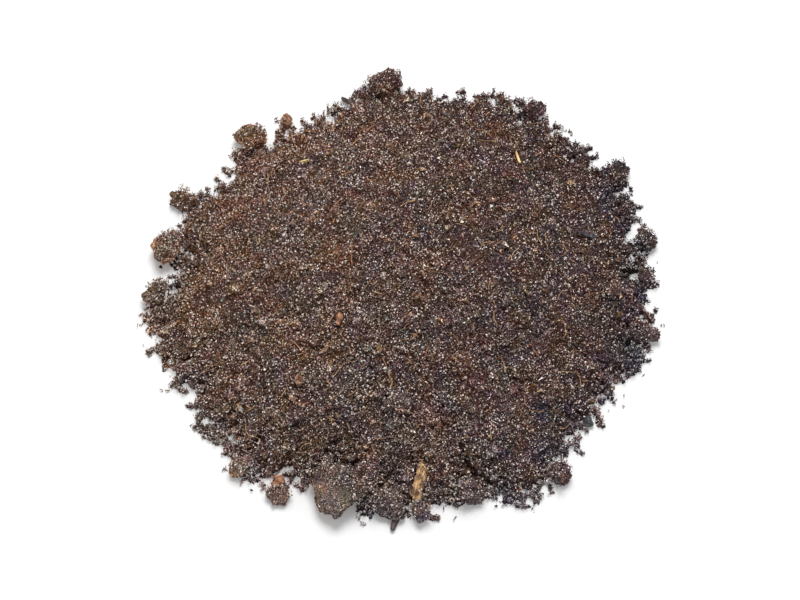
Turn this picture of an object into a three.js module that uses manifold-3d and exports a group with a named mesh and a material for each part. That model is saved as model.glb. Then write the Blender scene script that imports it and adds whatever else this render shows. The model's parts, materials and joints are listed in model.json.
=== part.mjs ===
// A heap of loose terrarium substrate: a round mound of peat crumb poured out on a table,
// with the clods, bark, wood chips, twigs and straw that lie in it as separate pieces.
// Millimetres, +Z up. The origin is on the table, under the middle of the heap. The viewer stands at -Y.
import * as THREE from "three";
import { mergeVertices } from "three/addons/utils/BufferGeometryUtils.js";
import Module from "manifold-3d";

// Driving dimensions of the mound
const HEAP_WIDTH = 232; // left to right at the foot, before the lobes of the rim
const HEAP_DEPTH = 222; // front to back at the foot, before the lobes of the rim
const HEAP_HEIGHT = 42; // crest above the table
const FOOT_HEIGHT = 1.5; // edge where the crumb thins out on the table
const DOME_POWER = 1.7; // form of the slope: 1 is a cone, 2 a bowl turned over
const RIM_RAGGEDNESS = 5; // how far crumbs push the rim in or out, from end to end
const LUMP_RADIUS_LEAST = 4.5; // lumps of caked crumb that roughen the surface
const LUMP_RADIUS_MOST = 10;
const LUMP_HEIGHT_MOST = 3;
const CRUMB_RELIEF = 2.6; // relief of the coarse crumb, from end to end

// The largest clod, which lies at the front of the foot
const FRONT_CLOD_LENGTH = 29; // from the heap towards the viewer
const FRONT_CLOD_WIDTH = 36; // before the taper, which leaves about 31
const FRONT_CLOD_HEIGHT = 16;
const FRONT_CLOD_TAPER = 0.5; // share of its width that is gone at the end towards the viewer

// How the separate pieces sit
const SEAT_GAP = 0.5; // clearance between a piece and the crumb that it is pressed into
const TABLE_FLAT = 0.12; // share of a clod's height that is flattened where it rests on the table
const SUNK_SHARE = 0.42; // share of a piece's height that is pressed into the slope
const FOOT_BAND = 10; // nearer to the rim than this, a piece on the slope lies flatter than the slope

// Fineness of the meshes
const HEAP_RINGS = 30;
const LUMP_COUNT = 320;
const CLOD_FLATS = 9;
const CLOD_KNOBS = 4;
const CLOD_ROUGHNESS = 0.18;
const CLOD_FINENESS = 10; // a clod gets a finer mesh with each of these millimetres in its length

// Lobes and bays of the rim: bearing from +X towards +Y, reach past the foot, and half width,
// with bearing and half width in degrees
const RIM_LOBES = [
  { bearing: 18, reach: 8, spread: 18 },
  { bearing: 29, reach: 4, spread: 6 },
  { bearing: 46, reach: 5, spread: 9 },
  { bearing: 61, reach: 8, spread: 7 },
  { bearing: 82, reach: 2.5, spread: 6 },
  { bearing: 98, reach: 8, spread: 6 },
  { bearing: 112, reach: -10, spread: 10 },
  { bearing: 122, reach: 5, spread: 5 },
  { bearing: 128, reach: -7, spread: 10 },
  { bearing: 137, reach: 5, spread: 3.5 },
  { bearing: 145, reach: -9, spread: 9 },
  { bearing: 177, reach: -6, spread: 4 },
  { bearing: 190, reach: 8, spread: 11 },
  { bearing: 212, reach: 3, spread: 12 },
  { bearing: 228, reach: 4, spread: 3 },
  { bearing: 235, reach: 9, spread: 6 },
  { bearing: 248, reach: -5, spread: 3 },
  { bearing: 260, reach: 7, spread: 7 },
  { bearing: 276, reach: 3, spread: 4 },
  { bearing: 280, reach: 3, spread: 10 },
  { bearing: 301, reach: 13, spread: 8 },
  { bearing: 342, reach: 8, spread: 11 },
  { bearing: 356, reach: 3, spread: 8 },
];

// Clods that rest on the table against the foot of the heap.
// bedded is how far the inner end lies inside the rim, size is [along the rim's radius, across it, high].
const FRONT_CLOD = {
  name: "front_clod",
  bearing: 255,
  bedded: 20,
  size: [FRONT_CLOD_LENGTH, FRONT_CLOD_WIDTH, FRONT_CLOD_HEIGHT],
  taper: FRONT_CLOD_TAPER,
  seed: 628,
  colour: "clod",
};
const FOOT_CLODS = [
  FRONT_CLOD,
  { name: "front_middle_clod", bearing: 267, bedded: 9, size: [15, 16, 11], colour: "darkClod" },
  { name: "front_dark_clod", bearing: 274.5, bedded: 5.5, size: [11, 9.5, 9], colour: "darkClod" },
  { name: "front_inner_clod", bearing: 287, bedded: 8, size: [12, 13, 10], colour: "darkClod" },
  { name: "front_right_clod", bearing: 307, bedded: 4, size: [13, 11, 10], colour: "clod" },
  { name: "dark_pebble", bearing: 321, bedded: 4, size: [6, 5, 4.5], colour: "pebble" },
  { name: "right_low_clod", bearing: 347, bedded: 4.5, size: [9, 8, 7], colour: "clod" },
  { name: "right_middle_clod", bearing: 2, bedded: 6, size: [9, 10, 8], colour: "clod" },
  { name: "right_upper_clod", bearing: 11, bedded: 4.5, size: [11, 12, 9], colour: "clod" },
  { name: "right_back_clod", bearing: 29, bedded: 6, size: [15, 12, 10], colour: "darkClod" },
  { name: "back_right_clod", bearing: 55, bedded: 5, size: [14, 12, 9], colour: "darkClod" },
  { name: "back_small_clod", bearing: 64, bedded: 3.5, size: [7, 6, 5], colour: "darkClod" },
  { name: "back_nose_clod", bearing: 94, bedded: 11, size: [18, 19, 12], colour: "clod" },
  { name: "back_bark_bit", bearing: 122, bedded: 3, size: [7, 6, 5], colour: "bark" },
  { name: "back_left_clod", bearing: 133, bedded: 5, size: [17, 15, 11], colour: "warmClod" },
  { name: "left_upper_clod", bearing: 157, bedded: 4, size: [16, 12, 9], colour: "clod" },
  { name: "left_clod", bearing: 171, bedded: 7, size: [16, 21, 13], colour: "warmClod" },
  { name: "left_lower_clod", bearing: 183, bedded: 8, size: [13, 12, 10], colour: "clod" },
  { name: "front_left_clod", bearing: 232, bedded: 9, size: [14, 8, 8], colour: "warmClod" },
  { name: "bark_nugget", bearing: 241, bedded: 3.5, size: [7, 6, 6], colour: "bark" },
  { name: "front_low_clod", bearing: 242.5, bedded: -2, size: [12, 13, 7], colour: "darkClod" },
];

// Clods and flat chips pressed into the slope: rise is the distance of the middle up the slope from the rim
const SLOPE_CLODS = [
  { name: "crest_clod", bearing: 269, rise: 43.5, size: [12, 13, 8], turn: 20, colour: "clod" },
  { name: "right_slope_clod", bearing: 355, rise: 20, size: [10, 9.5, 7], turn: 0, colour: "clod" },
  { name: "bark_chip_left", bearing: 232, rise: 45.5, size: [6.5, 4.5, 3], turn: 40, colour: "bark" },
  { name: "bark_chip_middle", bearing: 230, rise: 77, size: [6.5, 3.5, 3], turn: 30, colour: "bark" },
  { name: "grey_sliver", bearing: 12, rise: 30.5, size: [10.5, 3.6, 3], turn: -15, colour: "pebble" },
  { name: "blue_grey_chip", bearing: 75, rise: 20, size: [3, 5.5, 2.6], turn: 10, colour: "pebble" },
];

// Broken sticks and stalks, pressed into the slope at the middle of their length
const STICKS = [
  { name: "back_twig", bearing: 104, rise: 3, length: 13, radius: 1.2, turn: 37, colour: "twig" },
  { name: "front_twig", bearing: 269, rise: -6, length: 10, radius: 1.7, turn: -18, colour: "twig" },
  { name: "short_straw", bearing: 130, rise: 33.5, length: 4.5, radius: 0.8, turn: 52, colour: "straw" },
  { name: "long_straw", bearing: 46, rise: 36, length: 8.5, radius: 0.7, turn: 54, colour: "straw" },
];

// Split wood chip on the front slope
const CHIP_LENGTH = 18;
const CHIP_WIDTH = 5;
const CHIP_THICKNESS = 3;
const CHIP_BEARING = 275;
const CHIP_RISE = 13;
const CHIP_TURN = -20;

const COLOURS = {
  crumb: 0x4a3a31,
  clod: 0x45362d,
  darkClod: 0x352c28,
  warmClod: 0x5a4231,
  bark: 0x7a5036,
  pebble: 0x54565a,
  twig: 0x463c3c,
  straw: 0xc2a66c,
  wood: 0x8c6a43,
};

const wasm = await Module();
wasm.setup();

// Repeatable random numbers from 0 to 1
function seededRandom(seed) {
  let state = seed >>> 0;
  return () => {
    state = (state + 0x6d2b79f5) >>> 0;
    let mixed = Math.imul(state ^ (state >>> 15), 1 | state);
    mixed = (mixed + Math.imul(mixed ^ (mixed >>> 7), 61 | mixed)) ^ mixed;
    return ((mixed ^ (mixed >>> 14)) >>> 0) / 4294967296;
  };
}

const radians = THREE.MathUtils.degToRad;

// A geometry with its positions alone, and each shared vertex once
function welded(geometry) {
  const bare = geometry.index ? geometry.toNonIndexed() : geometry.clone();
  bare.deleteAttribute("normal");
  bare.deleteAttribute("uv");
  return mergeVertices(bare, 1e-4);
}

function toSolid(geometry, matrix) {
  const placed = welded(geometry).applyMatrix4(matrix);
  return new wasm.Manifold(
    new wasm.Mesh({
      numProp: 3,
      vertProperties: placed.getAttribute("position").array,
      triVerts: new Uint32Array(placed.index.array),
    }),
  );
}

function toGeometry(solid) {
  const mesh = solid.getMesh();
  const geometry = new THREE.BufferGeometry();
  geometry.setAttribute("position", new THREE.BufferAttribute(new Float32Array(mesh.vertProperties), 3));
  geometry.setIndex(new THREE.BufferAttribute(new Uint32Array(mesh.triVerts), 1));
  geometry.computeVertexNormals();
  return geometry;
}

// Distance of the round foot from the middle, at a bearing in degrees
function footRadius(bearing) {
  const angle = radians(bearing);
  return 1 / Math.hypot(Math.cos(angle) / (HEAP_WIDTH / 2), Math.sin(angle) / (HEAP_DEPTH / 2));
}

// How far the lobes and bays move the rim at a bearing
function lobeReach(bearing) {
  return RIM_LOBES.reduce((sum, lobe) => {
    const away = THREE.MathUtils.euclideanModulo(bearing - lobe.bearing + 180, 360) - 180;
    return sum + lobe.reach * Math.exp(-((away / lobe.spread) ** 2));
  }, 0);
}

function rimRadius(bearing) {
  return footRadius(bearing) + lobeReach(bearing);
}

// Lumps of caked crumb, spread over the heap like the seeds of a sunflower
function makeLumps() {
  const random = seededRandom(11);
  const goldenAngle = 180 * (3 - Math.sqrt(5));
  return Array.from({ length: LUMP_COUNT }, (_, i) => {
    const bearing = i * goldenAngle + 20 * random();
    const reach = rimRadius(bearing) * Math.sqrt((i + random()) / LUMP_COUNT);
    return {
      x: reach * Math.cos(radians(bearing)),
      y: reach * Math.sin(radians(bearing)),
      radius: THREE.MathUtils.lerp(LUMP_RADIUS_LEAST, LUMP_RADIUS_MOST, random()),
      height: LUMP_HEIGHT_MOST * (0.25 + 0.75 * random()),
    };
  });
}

// Height of the crumb above the table, at a share of the way from the crest to the rim, where lumps fade out
function heapHeight(x, y, share, lumps) {
  const dome = FOOT_HEIGHT + (HEAP_HEIGHT - FOOT_HEIGHT) * (1 - share ** DOME_POWER);
  const lumpShare = 1 - share ** 8;
  return lumps.reduce((height, lump) => {
    const near = 1 - ((x - lump.x) ** 2 + (y - lump.y) ** 2) / lump.radius ** 2;
    return near > 0 ? height + lumpShare * lump.height * near * near : height;
  }, dome);
}

// The mound: rings of 6, 12, 18 and more points round the crest, over a flat foot on the table
function heapGeometry() {
  const random = seededRandom(5);
  const lumps = makeLumps();
  const points = [];
  const faces = [];
  const ringStart = (ring) => (ring === 0 ? 0 : 1 + 3 * ring * (ring - 1));
  const onRing = (ring, i) => ringStart(ring) + (ring === 0 ? 0 : i % (6 * ring));
  for (let ring = 0; ring <= HEAP_RINGS; ring++) {
    const share = ring / HEAP_RINGS;
    const count = Math.max(1, 6 * ring);
    for (let i = 0; i < count; i++) {
      const bearing = (360 * i) / count;
      const ragged = RIM_RAGGEDNESS * (random() - 0.5) * share ** 6;
      const reach = footRadius(bearing) * share + lobeReach(bearing) * share ** 3 + ragged;
      const x = reach * Math.cos(radians(bearing));
      const y = reach * Math.sin(radians(bearing));
      const crumb = CRUMB_RELIEF * (random() - 0.5) * (1 - 0.6 * share ** 8);
      points.push(x, y, ring === HEAP_RINGS ? 0 : heapHeight(x, y, share, lumps) + crumb);
    }
  }
  for (let ring = 1; ring <= HEAP_RINGS; ring++) {
    for (let sector = 0; sector < 6; sector++) {
      for (let i = 0; i < ring; i++) {
        const outer = sector * ring + i;
        const inner = sector * (ring - 1) + i;
        faces.push(onRing(ring, outer), onRing(ring, outer + 1), onRing(ring - 1, inner));
        if (i < ring - 1) {
          faces.push(onRing(ring - 1, inner), onRing(ring, outer + 1), onRing(ring - 1, inner + 1));
        }
      }
    }
  }
  const footCentre = points.length / 3;
  points.push(0, 0, 0);
  for (let i = 0; i < 6 * HEAP_RINGS; i++) {
    faces.push(onRing(HEAP_RINGS, i + 1), onRing(HEAP_RINGS, i), footCentre);
  }
  const geometry = new THREE.BufferGeometry();
  geometry.setAttribute("position", new THREE.Float32BufferAttribute(points, 3));
  geometry.setIndex(faces);
  return geometry;
}

// A caked clod: a ball with flats broken off it and knobs left on it, brought to its size and a margin.
// taper is the share of its width that is gone at its outer end.
function clodGeometry(seed, size, margin, floor, taper = 0) {
  const random = seededRandom(seed);
  const anyWay = () => new THREE.Vector3(random() - 0.5, random() - 0.5, random() - 0.5).normalize();
  const flats = Array.from({ length: CLOD_FLATS }, () => ({
    facing: anyWay(),
    depth: 0.3 + 0.16 * random(),
  }));
  const knobs = Array.from({ length: CLOD_KNOBS }, () => ({
    facing: anyWay(),
    rise: 0.06 + 0.1 * random(),
  }));
  const detail = THREE.MathUtils.clamp(Math.round(size[0] / CLOD_FINENESS), 1, 3);
  const geometry = welded(new THREE.IcosahedronGeometry(0.5, detail));
  const position = geometry.getAttribute("position");
  const way = new THREE.Vector3();
  for (let i = 0; i < position.count; i++) {
    way.fromBufferAttribute(position, i).normalize();
    const broken = flats.reduce((least, flat) => {
      const towards = way.dot(flat.facing);
      return towards > 0 ? Math.min(least, flat.depth / towards) : least;
    }, 0.5);
    const knobbed = knobs.reduce((reach, knob) => {
      const towards = Math.max(way.dot(knob.facing), 0);
      return reach + knob.rise * towards ** 6;
    }, broken);
    way.multiplyScalar(knobbed * (1 + CLOD_ROUGHNESS * (random() - 0.5)));
    position.setXYZ(i, way.x, way.y, way.z);
  }
  geometry.center();
  const sides = geometry.boundingBox.getSize(new THREE.Vector3());
  const [length, width, height] = size.map((side) => side + 2 * margin);
  geometry.scale(length / sides.x, width / sides.y, height / sides.z);
  for (let i = 0; i < position.count; i++) {
    const outward = position.getX(i) / length + 0.5;
    position.setY(i, position.getY(i) * (1 - taper * outward));
    position.setZ(i, Math.max(position.getZ(i), floor));
  }
  return geometry;
}

// A broken stick lying along X, a little thinner at one end
function stickGeometry(length, radius) {
  const outline = [
    new THREE.Vector2(0, -length / 2),
    new THREE.Vector2(radius * 0.8, -length / 2 + radius * 0.3),
    new THREE.Vector2(radius, 0),
    new THREE.Vector2(radius * 0.7, length / 2 - radius * 0.4),
    new THREE.Vector2(0, length / 2),
  ];
  return new THREE.LatheGeometry(outline, 8).rotateZ(-Math.PI / 2);
}

// A chip split along the grain, lying along X: slanted ends, one long edge hollowed
function chipGeometry(length, width, thickness) {
  const outline = new THREE.Shape();
  outline.moveTo(-length / 2, -width * 0.2);
  outline.lineTo(-length * 0.4, -width / 2);
  outline.quadraticCurveTo(0, -width * 0.25, length * 0.36, -width / 2);
  outline.lineTo(length / 2, width * 0.1);
  outline.lineTo(length * 0.42, width / 2);
  outline.lineTo(-length * 0.34, width * 0.42);
  outline.closePath();
  const geometry = new THREE.ExtrudeGeometry(outline, {
    depth: thickness,
    bevelEnabled: false,
    curveSegments: 5,
  });
  return geometry.translate(0, 0, -thickness / 2);
}

const materials = Object.fromEntries(
  Object.entries(COLOURS).map(([name, color]) => [
    name,
    new THREE.MeshStandardMaterial({ color, roughness: 0.92, metalness: 0 }),
  ]),
);

const group = new THREE.Group();
const looseHeap = new THREE.Mesh(heapGeometry(), materials.crumb);
const seats = [];

function withoutSeats(solid) {
  const fitted = seats.reduce((left, seat) => left.subtract(seat), solid);
  return fitted.decompose().sort((a, b) => b.volume() - a.volume())[0];
}

// Adds a piece that gives way to those already in place, and keeps its own seat for what comes after
function addPiece(name, geometry, seatGeometry, place, colour) {
  const fitted = toGeometry(withoutSeats(toSolid(geometry, place)));
  const mesh = new THREE.Mesh(fitted.applyMatrix4(place.clone().invert()), materials[colour]);
  mesh.name = name;
  mesh.applyMatrix4(place);
  group.add(mesh);
  seats.push(toSolid(seatGeometry, place));
}

// The place on the table at a bearing and a distance from the middle, with X pointing away from the middle
function onTable(bearing, distance, height) {
  const angle = radians(bearing);
  const place = new THREE.Matrix4().makeRotationZ(angle);
  return place.setPosition(distance * Math.cos(angle), distance * Math.sin(angle), height);
}

// The place on the slope: X runs down the slope before the turn, Z stands out of it
function onSlope(bearing, rise, turn, lift) {
  const angle = radians(bearing);
  const reach = rimRadius(bearing) - rise;
  const above = new THREE.Vector3(reach * Math.cos(angle), reach * Math.sin(angle), 2 * HEAP_HEIGHT);
  const hit = new THREE.Raycaster(above, new THREE.Vector3(0, 0, -1)).intersectObject(looseHeap)[0];
  const foot = hit ? hit.point : above.clone().setZ(0);
  const share = Math.min(reach / rimRadius(bearing), 1);
  const fall = (DOME_POWER * (HEAP_HEIGHT - FOOT_HEIGHT) * share ** (DOME_POWER - 1)) / rimRadius(bearing);
  const steepness = Math.atan(fall);
  const lean = hit ? steepness * Math.min(rise / FOOT_BAND, 1) : 0;
  const place = new THREE.Matrix4().makeRotationZ(angle);
  place.multiply(new THREE.Matrix4().makeRotationY(lean));
  place.multiply(new THREE.Matrix4().makeRotationZ(radians(turn)));
  const level = Math.sin(lean);
  const outward = new THREE.Vector3(level * Math.cos(angle), level * Math.sin(angle), Math.cos(lean));
  return place.setPosition(foot.addScaledVector(outward, lift));
}

// Hard sticks and chips first, because the softer clods are pressed against them
STICKS.forEach(({ name, bearing, rise, length, radius, turn, colour }) => {
  const place = onSlope(bearing, rise, turn, radius);
  const seat = stickGeometry(length + 2 * SEAT_GAP, radius + SEAT_GAP);
  addPiece(name, stickGeometry(length, radius), seat, place, colour);
});

addPiece(
  "wood_chip",
  chipGeometry(CHIP_LENGTH, CHIP_WIDTH, CHIP_THICKNESS),
  chipGeometry(CHIP_LENGTH + 2 * SEAT_GAP, CHIP_WIDTH + 2 * SEAT_GAP, CHIP_THICKNESS + 2 * SEAT_GAP),
  onSlope(CHIP_BEARING, CHIP_RISE, CHIP_TURN, CHIP_THICKNESS * (0.5 - SUNK_SHARE)),
  "wood",
);

SLOPE_CLODS.forEach(({ name, bearing, rise, size, turn, colour }, i) => {
  const place = onSlope(bearing, rise, turn, size[2] * (0.5 - SUNK_SHARE));
  const seed = 200 + i;
  const seat = clodGeometry(seed, size, SEAT_GAP, -size[2]);
  addPiece(name, clodGeometry(seed, size, 0, -size[2]), seat, place, colour);
});

FOOT_CLODS.forEach(({ name, bearing, bedded, size, taper, seed, colour }, i) => {
  const middle = size[2] * (0.5 - TABLE_FLAT);
  const place = onTable(bearing, rimRadius(bearing) - bedded + size[0] / 2, middle);
  const shape = seed ?? 100 + i;
  const seat = clodGeometry(shape, size, SEAT_GAP, -size[2], taper);
  addPiece(name, clodGeometry(shape, size, 0, -middle, taper), seat, place, colour);
});

// The mound is the loose heap with every seat pressed into it
const mound = withoutSeats(toSolid(looseHeap.geometry, new THREE.Matrix4()));
const heap = new THREE.Mesh(toGeometry(mound), materials.crumb);
heap.name = "soil_heap";
group.add(heap);

export default group;
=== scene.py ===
"""Looks of a heap of loose terrarium substrate: crumb, clods, bark, grit, sticks and straw on a white table.

The solids of the frame give the form and the places. Shapes are worked out here in millimetres, and
make_piece turns them into metres. Every random draw comes from a seeded generator.
"""
import itertools
import json
import math

import bmesh
import bpy
import numpy as np
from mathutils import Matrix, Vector
from mathutils.bvhtree import BVHTree


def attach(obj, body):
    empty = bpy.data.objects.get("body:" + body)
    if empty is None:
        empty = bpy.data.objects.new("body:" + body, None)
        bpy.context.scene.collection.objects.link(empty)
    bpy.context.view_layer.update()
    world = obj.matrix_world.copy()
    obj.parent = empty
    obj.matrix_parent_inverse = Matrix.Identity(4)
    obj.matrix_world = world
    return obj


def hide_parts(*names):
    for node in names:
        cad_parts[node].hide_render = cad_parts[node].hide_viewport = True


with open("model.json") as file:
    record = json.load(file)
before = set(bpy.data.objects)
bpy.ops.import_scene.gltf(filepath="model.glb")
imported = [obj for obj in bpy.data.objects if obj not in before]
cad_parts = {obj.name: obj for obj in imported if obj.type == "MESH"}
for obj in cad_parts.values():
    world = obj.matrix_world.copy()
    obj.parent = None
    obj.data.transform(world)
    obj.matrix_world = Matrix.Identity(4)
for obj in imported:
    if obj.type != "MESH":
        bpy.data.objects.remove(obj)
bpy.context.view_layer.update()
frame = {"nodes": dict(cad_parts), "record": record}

MM = 0.001  # metres in a millimetre
SAME_SPOT = 0.001  # millimetres between vertices that are one
TINY = 1e-12  # keeps the normal of an empty corner from a division by nothing

# Seeds of the random draws
HEAP_SEED = 21
SKIN_SEED = 6
FIRST_SEED = 300  # of the first sub-part, and one more for each after it

# Camera, in millimetres unless said otherwise
CAMERA_ELEVATION = 65  # degrees above the table
CAMERA_DISTANCE = 748
CAMERA_TARGET = (0, -11.4, 8)
CAMERA_LENS = 70
CAMERA_SENSOR = 36

# Light and table, in metres unless said otherwise
ROOM_LIGHT = 0.5  # strength
LAMP_POWER = 11.5  # watts
LAMP_SIZE = 0.6
LAMP_DISTANCE = 1.2
LAMP_SIDE = (0.04, 0.36, 1.0)  # where the lamp hangs, as seen from the middle of the table
TABLE_HALF = 3.0
TABLE_DROP = 0.05  # millimetres under the foot of the heap
TABLE_WHITE = (0.84, 0.84, 0.84, 1)
TABLE_ROUGHNESS = 0.9
TABLE_GLOSS = 0.1
TABLE_GLOW = (0.1, 0.1, 0.1, 1)  # makes the table show white where nothing shades it

# The grid of heights that crumbs settle on
SOLID_CELL = 0.5  # to lay the solids on it
CRUMB_CELL = 0.25  # to settle crumbs on it
GRID_HALF = 140  # from the middle to each side
GRID_MARGIN = 2  # along its sides, where no rim is looked for
ABOVE_ALL = 100  # height from which the solids are looked at
FAR_BELOW = -1e6  # a height that nothing rests on
RIM_LEAST = 80  # least distance of the rim from the middle
RIM_STEP = 0.25  # fineness with which the rim and the holes near it are found

# The rough skin under the loose crumb
SKIN_DEPTH = 1.6  # under the surface of the solid, to leave room for crumb
SKIN_INSET = 3.0  # inside the rim of the solid, where crumb alone lies on the table
SKIN_CLEARANCE = 1  # inside the holes near the rim
SKIN_RINGS = 104
SKIN_DIP = 3  # under clods and chips, but no lower than half their height
SKIN_LUMPS = 1.2  # height of its lumps
SKIN_LUMP_WIDTH = 2.2
SKIN_ROUGHNESS = 0.45  # up and down
# brightness of the skin: crumb, darkened as painted shade of the gaps between the loose crumbs
SKIN_LIGHT_WITH_PAINTED_SHADE = 0.2
FOOT_SLOPE = 1.0  # rise over run of the crumb at the foot

# Loose crumbs: radii, count, spots of which each takes the lowest, share of the radius sunk in, and pieces
COARSE = {"least": 1.0, "most": 1.9, "count": 450, "tries": 3, "sink": 0.8, "pieces": 1}
MEDIUM = {"least": 0.5, "most": 0.85, "count": 4000, "tries": 3, "sink": 0.6, "pieces": 1}
FINE = {"least": 0.2, "most": 0.44, "count": 106000, "tries": 3, "sink": 0.45, "pieces": 4}
TOP = {"least": 0.18, "most": 0.4, "count": 60000, "tries": 3, "sink": 0.45, "pieces": 2}
PALE_AND_PAINTED_GLINT = {"least": 0.22, "most": 0.54, "count": 13000, "tries": 1, "sink": 0.2}
FLAKES = {"least": 0.5, "most": 1.3, "count": 340, "tries": 1, "sink": 0.5}
SLIVERS = {"least": 0.22, "most": 0.4, "count": 1700, "tries": 1, "sink": 0.3}
SMALL_SHARE = 1.6  # the higher, the more of the crumbs are small
ROLL = 0.8  # about how far a crumb rolls to a lower spot
CRUMB_SWELL = 1.1  # makes up for the corners that broken crumbs lack
CRUMB_ROUGHNESS = 0.28  # how far corners stick out or in, as a share of the radius
CRUMB_SIDES = (0.75, 1.25)  # least and most width to a side, as shares of the radius

# The ragged foot: lobes of crumb on the table, with holes between them
FOOT_INSIDE = 12  # how far inside the rim the foot begins
FOOT_OUTSIDE = 10  # how far past the rim it may run
ISLANDS_END = 2  # how far past the rim it starts to thin out twice as fast
FOOT_RAGGEDNESS = 34  # how far the lobes swing out and in
FOOT_LOBES = ((9, 0.2, 8), (2.6, 0.8, 9))  # layers of noise: width, share and seed
FOOT_HEIGHT = 1.4  # of the crumb at the rim
FOOT_RISE = 0.3  # of the crumb's height to a millimetre inside the rim
HOLE_CLEARANCE = 0.6  # share of its radius by which a crumb keeps out of a hole
HOLE_SIDES = 6  # sides of a crumb on which that is checked
FOOT_PLATES = {"least": 0.6, "most": 1.1, "count": 26000}
FOOT_CHUNKS = {"least": 0.4, "most": 0.95, "count": 24000}
FOOT_SLIVERS = {"least": 0.22, "most": 0.4, "count": 9000}
PLATE_FLATNESS = 0.4
# brightness of the plates: darker than the chunks, as painted shade in the gaps between them
PLATE_LIGHT_WITH_PAINTED_SHADE = 0.3
CHUNK_SINK = 0.5
SLIVER_REACH = 2  # how far slivers lie from the edge of a lobe, in and out
SLIVER_HEIGHTS = (0.3, 1.5)
CLOD_SKIRT = 12  # how far the crumb reaches out further round a clod
SKIRT_BLUR = 5  # cells
# Tufts of the foot: bearing in degrees, and how far the crumb reaches out further there
FOOT_TUFTS = (
    (30, 2), (46, 2), (155, 2), (187, 4), (216, 2),
    (238, 4), (250, 6), (275, 2), (297, 2), (315, 4),
)
TUFT_SPREAD = 4  # half width of a tuft in degrees

# Bits that the crumb leaves bare, with a margin of so many cells round them
BARE_NODES = ("short_straw", "long_straw", "bark_nugget", "bark_chip_middle")
BARE_MARGIN = 1
CHIP_BARE = 0.6  # share of the crumbs that other chips shed
CAKED_NODE = "front_clod"  # stays free of coarse crumb
CAKED_LEAST = 0.5  # least radius above which a sort of crumb is coarse

# Fibres
FIBRE_COUNT = 320
FIBRE_INSET = 5  # inside the rim
FIBRE_LENGTHS = (2, 10)
FIBRE_RADII = (0.1, 0.24)
FIBRE_TAPER = 0.5  # radius at the end, as a share of that at the start
FIBRE_STEPS = 9
FIBRE_SIDES = 5
FIBRE_CURL = 0.16  # about so many radians to a millimetre
FIBRE_WANDER = 0.12  # about so many radians at each step
FIBRE_LIFT = 0.3  # over the crumb
FIBRE_BRIDGES = 2  # steps to each side over which it evens out the crumb below
NEARLY_UP = (0.12, 0.2, 1.0)  # a direction in which no fibre runs
STRAW_RARITY = 1.3  # the higher, the more fibres are orange

# Clods
CLOD_DEPTH = 0.8  # of a clod's lump under its solid, to leave room for crumb
CLOD_EDGE = 0.9  # mean edge of a triangle
CLOD_LUMPS = 2.4  # height of its lumps
CLOD_LUMP_WIDTH = 5
CLOD_BUMPS = 1.6  # height of its smaller bumps
CLOD_BUMP_WIDTH = 2
CLOD_ROUGHNESS = 0.3  # in and out
ON_TABLE = 0.02  # height under which a clod touches the table
CLOD_CRUMBS = 0.8  # crumbs to a square millimetre
CLOD_CRUMBS_FROM = 0.5  # height over the table
CLOD_CRUMB_LEAST = 0.24  # least radius
CLOD_CRUMB_RANGE = 0.42  # from the least radius to the most
CLOD_CRUMB_SINK = 0.15

# Chips, sticks and grit
CHIP_EDGE = 0.6  # mean edge of a triangle
GRAIN_WIDTH = 0.7
CHIP_LUMP_WIDTH = 2
CHIP_PATCH_WIDTH = 2.4
CHIP_SPECKLE = 0.15
SPLINTER_WIDTH = 0.9
SPLINTER_BREAK = 0.7  # noise above which an end stands out as a splinter, and below which it is broken off
END_BEGINS = 0.75  # share of the way from the middle to the tip
GRAIN_STEPS = (0.2, 0.5, 0.8)  # grain of a groove, of the middle and of a ridge
GRAIN_SHADES_WITH_PAINTED_SHADE = (0.35, 0.9, 1.45)  # their shades: the grain's tone, with painted shade in the grooves and painted light on the ridges

# Colours as seen, in the usual 0 to 255 steps
DARKEST = 2
LIGHTEST = 250
CRUMB_GREEN = 109  # of a middling crumb
# pale sand and grit, near white partly as a painted glint
GRAIN_PALE_AND_PAINTED_GLINT = (255, 236, 224)
FIBRE_ORANGE = (176, 120, 78)
FIBRE_STRAW = (216, 174, 126)
BARK_RED = (160, 116, 90)
PEBBLE_GREY = (92, 92, 95)
TWIG_GREY = (92, 80, 78)
STRAW_YELLOW = (222, 192, 130)
WOOD_BROWN = (184, 148, 108)
FLAKE_COLOURS = (
    (168, 122, 88), (196, 166, 132), (140, 98, 80),
    (124, 106, 86), (184, 146, 108), (112, 112, 102),
)

# Patches of crumb, as layers of noise: width, share and seed
RUSTY_PATCHES = ((9, 1.2, 1), (2.2, 0.8, 2))
GOLDEN_PATCHES = ((6, 1.3, 3), (1.7, 0.7, 4))
SPECKLED_PATCHES = ((5, 1, 5),)
SPECKLED_LEAST = 0.75  # how speckled the plainest patch is
SPECKLED_RANGE = 0.5  # from the plainest to the most speckled
GRAIN_THRESHOLDS = (0.1, 0.7)  # noise of the patch above which a pale grain, with its painted glint, stays, least and most

# Steps of a crumb's red above its green, and of its blue below it, with right and back by millimetre
RED_STEPS = {"plain": 27, "rusty": 19, "golden": 0, "odd": 14, "right": -0.045, "back": 0.03, "rim": -6}
BLUE_STEPS = {"plain": 10, "rusty": 8, "golden": 20, "odd": 14, "right": -0.065, "back": 0.025, "rim": -5}
BRIGHT_STEP = 0.04  # to both with each step that the green is brighter
ODD_SHARE = 0.06  # of crumbs that are odd in red, and as many in blue
RIM_BEGINS = 98  # distance from the middle at which crumb starts to get cooler
RIM_FADE = 14

# Brightness of crumbs
DISPLAY_POWER = 2.2  # from steps as seen to light
RUSTY_LIGHT = 0.08
GOLDEN_LIGHT = 0.14
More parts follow.
